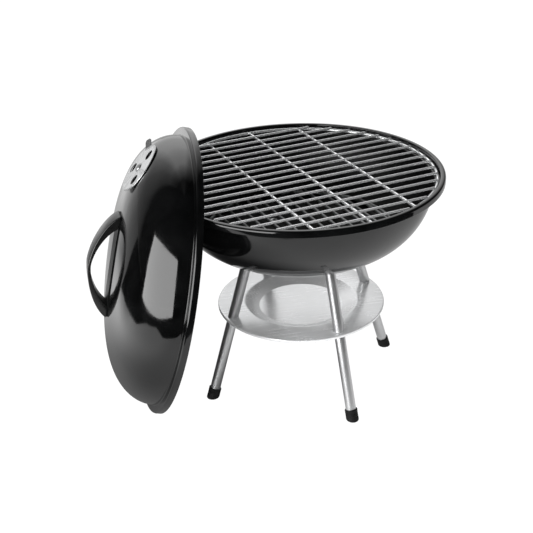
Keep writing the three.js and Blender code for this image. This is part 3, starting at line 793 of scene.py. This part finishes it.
def grate(name, Rr, ring_d, bar_d, cross_d, z, pitch, shift, deg, cross_at, body, node, mat):
    part = Part().add(*torus(Rr, ring_d / 2, z))
    c, s = math.cos(deg * RAD), math.sin(deg * RAD)
    at = lambda u, v, h: (u * c - v * s, u * s + v * c, h)
    n = math.floor((Rr - 8) / pitch - 0.5)
    zbar = z + cross_d / 2 + bar_d / 2 - 0.4
    ztouch = z + cross_d / 2 - 0.1
    for i in range(-n - 1, n + 1):
        v = (i + 0.5) * pitch + shift
        if abs(v) > Rr - 8:
            continue
        h = math.sqrt(Rr * Rr - v * v) - 0.2
        part.add(*rod(at(-h, v, zbar), at(h, v, zbar), bar_d / 2))
        for e in (-1, 1):
            part.add(*bead(at(e * (h - 0.6), v, ztouch), bar_d * 0.62, bar_d * 0.36))
        for u in cross_at:
            if abs(u) < h:
                part.add(*bead(at(u, v, ztouch), bar_d * 0.6, bar_d * 0.30))
    for u in cross_at:
        h = math.sqrt(Rr * Rr - u * u) - 0.4
        part.add(*rod(at(u, -h, z), at(u, h, z), cross_d / 2))
        for e in (-1, 1):
            part.add(*bead(at(u, e * (h - 1.2), z + 0.6), cross_d * 0.66, cross_d * 0.5))
    ob = part.make(name, BASE, sharp=60)
    return piece(ob, body, 'chromed_wire', mat, node)


GRATE_Z = RIM_TOP - SEAT_DROP + GAP + GRATE_RING_D / 2
grate('cooking_grate_wire', GRATE_R, GRATE_RING_D, GRATE_BAR_D, GRATE_CROSS_D, GRATE_Z, GRATE_PITCH, GRATE_SHIFT, GRATE_DIR, GRATE_CROSS_AT, 'grate', 'cooking_grate', M_CHROME)
coal_z = (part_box('charcoal_grate')[0].z * 1000) + COAL_RING_D / 2 * math.cos(PI / 10)
grate('charcoal_grate_wire', COAL_R, COAL_RING_D, COAL_BAR_D, COAL_CROSS_D, coal_z, COAL_PITCH, 0, COAL_DIR, COAL_CROSS_AT, 'coal_grate', 'charcoal_grate', M_COAL)

# ------------------------------------------------------------------ lid handle
SPIN = RZ(LID_SPIN)


def arch(half, rise, t):
    c, s = math.cos(t), math.sin(t)
    return Vector((half * math.copysign(abs(c) ** (2 / HANDLE_M), c), lid_top - HANDLE_BASE + rise * max(s, 0) ** (2 / HANDLE_M)))


NS = 96
vs, fs = [], []
ring_n = None
for j in range(NS + 1):
    # more stations where the arch springs from its feet
    t = PI * j / NS
    t = t - 0.22 * math.sin(2 * t) * 0.5
    A, B = arch(HANDLE_IN[0], HANDLE_IN[1], t), arch(HANDLE_OUT[0] - 0.15, HANDLE_OUT[1] - 0.12, t)
    d = B - A
    th = d.length
    n = d / th
    w = HANDLE_W / 2
    rc = min(1.4, th * 0.44)
    sec = []
    for cx0, cy0, a0 in ((w - rc, rc, -PI / 2), (w - rc, th - rc, 0), (-w + rc, th - rc, PI / 2), (-w + rc, rc, PI)):
        for k in range(6):
            a = a0 + PI / 2 * k / 5
            sec.append((cx0 + rc * math.cos(a), cy0 + rc * math.sin(a)))
    # a slight crown across the grip
    for u, q in sec:
        q2 = q - 0.7 * (u / w) ** 2 if q > th / 2 else q + 0.4 * (u / w) ** 2
        P = A + n * q2
        vs.append((P.x, u, P.y))
    ring_n = len(sec)
for j in range(NS):
    for k in range(ring_n):
        m = (k + 1) % ring_n
        fs.append((j * ring_n + k, (j + 1) * ring_n + k, (j + 1) * ring_n + m, j * ring_n + m))
fs.append(tuple(range(ring_n)))
fs.append(tuple(reversed(range(NS * ring_n, (NS + 1) * ring_n))))
handle = Part().add(vs, fs, SPIN).make('handle_grip', LID, sharp=45)
dome_cut = even([p for p in offset(lid_curve, 2 * GAP + SHIELD_T) if p[0] < 100], 3.0)
body_prof = [(0, 40), (100, 40)] + dome_cut[:-1] + [(0, dome_cut[-1][1])]
cutters = [lathe(body_prof, 120, closed=False)]
cutters += [cylinder(2.3, 60, lid_top + 6.5, 32, SPIN @ T(s * SCREW_AT, 0, 0)) for s in (-1, 1)]
cut(handle, cutters, LID)
piece(handle, 'lid_body', 'black_nylon', M_NYLON, 'lid_handle')

# thin shield strip on the dome under the handle, with round corners
near_c, far_c = offset(lid_curve, GAP), offset(lid_curve, GAP + SHIELD_T)
NL, NW, rc = 68, 16, 5.0
vs, fs = [], []
for side, curve in ((0, near_c), (1, far_c)):
    for i in range(NL + 1):
        s = -SHIELD_L / 2 + SHIELD_L * i / NL
        dx = SHIELD_L / 2 - abs(s)
        w = SHIELD_W / 2 - (rc - math.sqrt(max(rc * rc - (rc - dx) ** 2, 0)) if dx < rc else 0)
        for k in range(NW + 1):
            u = -w + 2 * w * k / NW
            vs.append((s, u, height_on(curve, math.hypot(s, u))))
NN = (NL + 1) * (NW + 1)
idx = lambda side, i, k: side * NN + i * (NW + 1) + k
for i in range(NL):
    for k in range(NW):
        fs.append((idx(1, i, k), idx(1, i + 1, k), idx(1, i + 1, k + 1), idx(1, i, k + 1)))
        fs.append((idx(0, i, k), idx(0, i, k + 1), idx(0, i + 1, k + 1), idx(0, i + 1, k)))
for i in range(NL):
    fs.append((idx(0, i, 0), idx(0, i + 1, 0), idx(1, i + 1, 0), idx(1, i, 0)))
    fs.append((idx(0, i + 1, NW), idx(0, i, NW), idx(1, i, NW), idx(1, i + 1, NW)))
for k in range(NW):
    fs.append((idx(0, 0, k + 1), idx(0, 0, k), idx(1, 0, k), idx(1, 0, k + 1)))
    fs.append((idx(0, NL, k), idx(0, NL, k + 1), idx(1, NL, k + 1), idx(1, NL, k)))
ob = Part().add(vs, fs, SPIN).make('heat_shield_strip', LID, sharp=40)
piece(ob, 'lid_body', 'black_enamel', M_INSIDE, 'handle_heat_shield')

zs = surface_at(SCREW_AT) - SHEET
for s, label in ((1, 'upper'), (-1, 'lower')):
    hexa = lambda a: 1.1 * math.cos(PI / 6) / math.cos((a % (PI / 3)) - PI / 6)
    pr = [(0, zs - 2.2), (hexa, zs - 2.2), (hexa, zs - 3.0), (lambda a: hexa(a) + 0.2, zs - 3.2)] + \
         [(2.4 + 2.1 * math.sin(t), zs - 1.9 - 1.3 * math.cos(t)) for t in [PI / 2 * j / 7 for j in range(8)]] + \
         [(4.5, zs - 1.0), (4.3, zs - 0.8), (2.0, zs - 0.8), (2.0, lid_top + 6), (0, lid_top + 6)]
    ob = Part().add(*lathe(pr, 36, closed=False)).make(f'screw_{label}', LID @ SPIN @ T(s * SCREW_AT, 0, 0), sharp=35)
    piece(ob, 'lid_body', 'bright_steel', M_STEEL, f'handle_screw_{label}')

# ------------------------------------------------------------------ floor and light
me = bpy.data.meshes.new('floor')
me.from_pydata([(-9, -9, 0), (9, -9, 0), (9, 9, 0), (-9, 9, 0)], [], [(0, 1, 2, 3)])
floor = bpy.data.objects.new('floor', me)
scene.collection.objects.link(floor)
fm, nt, b = material('pale_floor')
nt.links.new(ramp(nt, noise(nt, coords(nt), 3.0, 3, 0.5), [(0.2, (0.08, 0.08, 0.08)), (0.8, (0.10, 0.10, 0.10))]), b.inputs['Base Color'])
b.inputs['Roughness'].default_value = 0.9
b.inputs['Specular IOR Level'].default_value = 0.1
b.inputs['Emission Color'].default_value = (1, 1, 1, 1)
b.inputs['Emission Strength'].default_value = 1.0
me.materials.append(fm)


def card(name, quad, colour, strength):
    """A flat sheet that is only there for reflections."""
    me = bpy.data.meshes.new(name)
    n = len(quad) // 2
    me.from_pydata(quad, [], [(k, k + 1, 2 * n - 2 - k, 2 * n - 1 - k) for k in range(n - 1)])
    ob = bpy.data.objects.new(name, me)
    scene.collection.objects.link(ob)
    m, nt, b = material(name)
    b.inputs['Base Color'].default_value = (*colour, 1)
    b.inputs['Roughness'].default_value = 1.0
    b.inputs['Specular IOR Level'].default_value = 0.0
    b.inputs['Emission Color'].default_value = (1, 1, 1, 1)
    b.inputs['Emission Strength'].default_value = strength
    me.materials.append(m)
    ob.visible_camera = ob.visible_shadow = ob.visible_diffuse = False
    return ob


# painted dark reflection: a black sheet beyond the white sweep, left and in front, that only the gloss sees
EDGE = [(-132, 0.62), (-110, 0.70), (-95, 0.72), (-80, 0.95), (-60, 0.95), (-45, 0.62), (-20, 0.52), (10, 0.60), (40, 0.64), (75, 0.70)]


def edge_at(a):
    for (a0, r0), (a1, r1) in zip(EDGE, EDGE[1:]):
        if a <= a1:
            return r0 + (r1 - r0) * (a - a0) / (a1 - a0)
    return EDGE[-1][1]


ring_pts = []
arc = [EDGE[0][0] + (EDGE[-1][0] - EDGE[0][0]) * k / 72 for k in range(73)]
for a in arc:
    ring_pts.append((edge_at(a) * math.sin(a * RAD), -edge_at(a) * math.cos(a * RAD), 0.001))
for a in arc[::-1]:
    ring_pts.append((13 * math.sin(a * RAD), -13 * math.cos(a * RAD), 0.001))
card('painted_dark_reflection', ring_pts, (0.01, 0.01, 0.01), 0.0)

# painted reflection of the floor, seen only by gloss: painted light brighter to the left, painted shade behind, painted
# shadows under the bowl and round the lid's foot
W = 13.0
near = card('painted_floor_reflection', [(-W, -W, 0.0006), (W, -W, 0.0006), (W, W, 0.0006), (-W, W, 0.0006)], (0.02, 0.02, 0.02), 1.0)
nt = near.data.materials[0].node_tree
b = [n for n in nt.nodes if n.type == 'BSDF_PRINCIPLED'][0]
tc = nt.nodes.new('ShaderNodeTexCoord')
sep = nt.nodes.new('ShaderNodeSeparateXYZ')
nt.links.new(tc.outputs['Object'], sep.inputs[0])


def times(a, b):
    m = nt.nodes.new('ShaderNodeMath')
    m.operation = 'MULTIPLY'
    nt.links.new(a, m.inputs[0])
    nt.links.new(b, m.inputs[1])
    return m.outputs[0]


def soft(fac, lo, hi, a, b):
    """a below lo, b above hi, smooth between."""
    m = nt.nodes.new('ShaderNodeMapRange')
    m.interpolation_type = 'SMOOTHSTEP'
    for key, x in (('From Min', lo), ('From Max', hi), ('To Min', a), ('To Max', b)):
        m.inputs[key].default_value = x
    nt.links.new(fac, m.inputs['Value'])
    return m.outputs[0]


def painted_shadow_spot(x, y, r0, r1, a):
    """Painted shadow: a within r0 of (x, y), 1 beyond r1."""
    off = nt.nodes.new('ShaderNodeMapping')
    off.inputs['Location'].default_value = (-x, -y, 0)
    nt.links.new(tc.outputs['Object'], off.inputs['Vector'])
    length = nt.nodes.new('ShaderNodeVectorMath')
    length.operation = 'LENGTH'
    nt.links.new(off.outputs[0], length.inputs[0])
    return soft(length.outputs['Value'], r0, r1, a, 1.0)


# painted shade behind the object and painted light to the left, in the floor's reflection
painted_shade_behind = soft(sep.outputs['Y'], -0.30, 0.15, 0.86, 0.54)
painted_light_left = soft(sep.outputs['X'], -0.45, -0.22, 1.0, 0.0)
blend = nt.nodes.new('ShaderNodeMix')
blend.data_type = 'FLOAT'
nt.links.new(painted_light_left, blend.inputs['Factor'])
nt.links.new(painted_shade_behind, blend.inputs['A'])
blend.inputs['B'].default_value = 1.15
spot = nt.nodes.new('ShaderNodeVectorMath')
spot.operation = 'NORMALIZE'
nt.links.new(tc.outputs['Object'], spot.inputs[0])
toward = nt.nodes.new('ShaderNodeVectorMath')
toward.operation = 'DOT_PRODUCT'
nt.links.new(spot.outputs[0], toward.inputs[0])
toward.inputs[1].default_value = (-0.743, 0.669, 0)
far_off = nt.nodes.new('ShaderNodeVectorMath')
far_off.operation = 'LENGTH'
nt.links.new(tc.outputs['Object'], far_off.inputs[0])
# painted shade: fades towards the dark reflection sheet's edge
fade = nt.nodes.new('ShaderNodeMix')
fade.data_type = 'FLOAT'
fade.inputs['A'].default_value = 1.0
nt.links.new(soft(far_off.outputs['Value'], 0.45, 0.75, 0.0, 1.0), fade.inputs['Factor'])
nt.links.new(soft(toward.outputs['Value'], 0.88, 0.999, 1.0, 0.22), fade.inputs['B'])
# painted shadows round the lid's foot and under the bowl, multiplied into the reflection card's glow
tone = times(times(times(blend.outputs['Result'], fade.outputs['Result']), painted_shadow_spot(-0.20, 0.0, 0.10, 0.35, 0.45)), painted_shadow_spot(-0.04, 0.06, 0.10, 0.26, 0.06))
nt.links.new(tone, b.inputs['Emission Strength'])

world = bpy.data.worlds.new('studio')
scene.world = world
world.use_nodes = True
nt = world.node_tree
nt.nodes.clear()
w_out = nt.nodes.new('ShaderNodeOutputWorld')
mix = nt.nodes.new('ShaderNodeMixShader')
room = nt.nodes.new('ShaderNodeBackground')
plain = nt.nodes.new('ShaderNodeBackground')
plain.inputs['Color'].default_value = (1, 1, 1, 1)
lp = nt.nodes.new('ShaderNodeLightPath')
tc = nt.nodes.new('ShaderNodeTexCoord')
sep = nt.nodes.new('ShaderNodeSeparateXYZ')
nt.links.new(tc.outputs['Generated'], sep.inputs[0])
flat = nt.nodes.new('ShaderNodeCombineXYZ')
nt.links.new(sep.outputs['X'], flat.inputs['X'])
nt.links.new(sep.outputs['Y'], flat.inputs['Y'])
unit = nt.nodes.new('ShaderNodeVectorMath')
unit.operation = 'NORMALIZE'
nt.links.new(flat.outputs[0], unit.inputs[0])
sep2 = nt.nodes.new('ShaderNodeSeparateXYZ')
nt.links.new(unit.outputs[0], sep2.inputs[0])
white = ramp(nt, sep2.outputs['Y'], [(0.0, g(0.01)), (0.60, g(0.02)), (0.66, g(0.14)), (0.80, g(0.26)), (0.90, g(0.50)), (0.97, g(0.95))])
ceil = ramp(nt, sep.outputs['Z'], [(0.0, g(0.62)), (0.20, g(0.64)), (0.5, g(1.0)), (0.82, g(1.0)), (0.91, g(0.4)), (0.96, g(0.06))])
mul = nt.nodes.new('ShaderNodeVectorMath')
mul.operation = 'MULTIPLY'
nt.links.new(white, mul.inputs[0])
nt.links.new(ceil, mul.inputs[1])
nt.links.new(mul.outputs[0], room.inputs['Color'])
room.inputs['Strength'].default_value = 1.55
nt.links.new(lp.outputs['Is Camera Ray'], mix.inputs[0])
nt.links.new(room.outputs[0], mix.inputs[1])
nt.links.new(plain.outputs[0], mix.inputs[2])
nt.links.new(mix.outputs[0], w_out.inputs[0])
scene.view_settings.view_transform = 'Standard'
scene.view_settings.look = 'None'


def softbox(name, at, to, sx, sy, watts):
    ld = bpy.data.lights.new(name, 'AREA')
    ld.shape, ld.size, ld.size_y, ld.energy = 'RECTANGLE', sx, sy, watts
    ob = bpy.data.objects.new(name, ld)
    scene.collection.objects.link(ob)
    ob.location = at
    ob.rotation_euler = (Vector(to) - Vector(at)).to_track_quat('-Z', 'Y').to_euler()
    ob.visible_camera = False
    return ob


softbox('window', (-1.5025, -0.472, 0.62), (-1.5025 + 0.754, -0.472 + 0.657, 0.62), 2.313, 1.2, 45)

# soft fill for what stands in the bowl's shade; the gloss doesn't see it
fill = softbox('fill', (0.12, -1.0, 0.60), (0.05, -0.02, 0.11), 1.0, 0.6, 9.5)
fill.visible_glossy = False
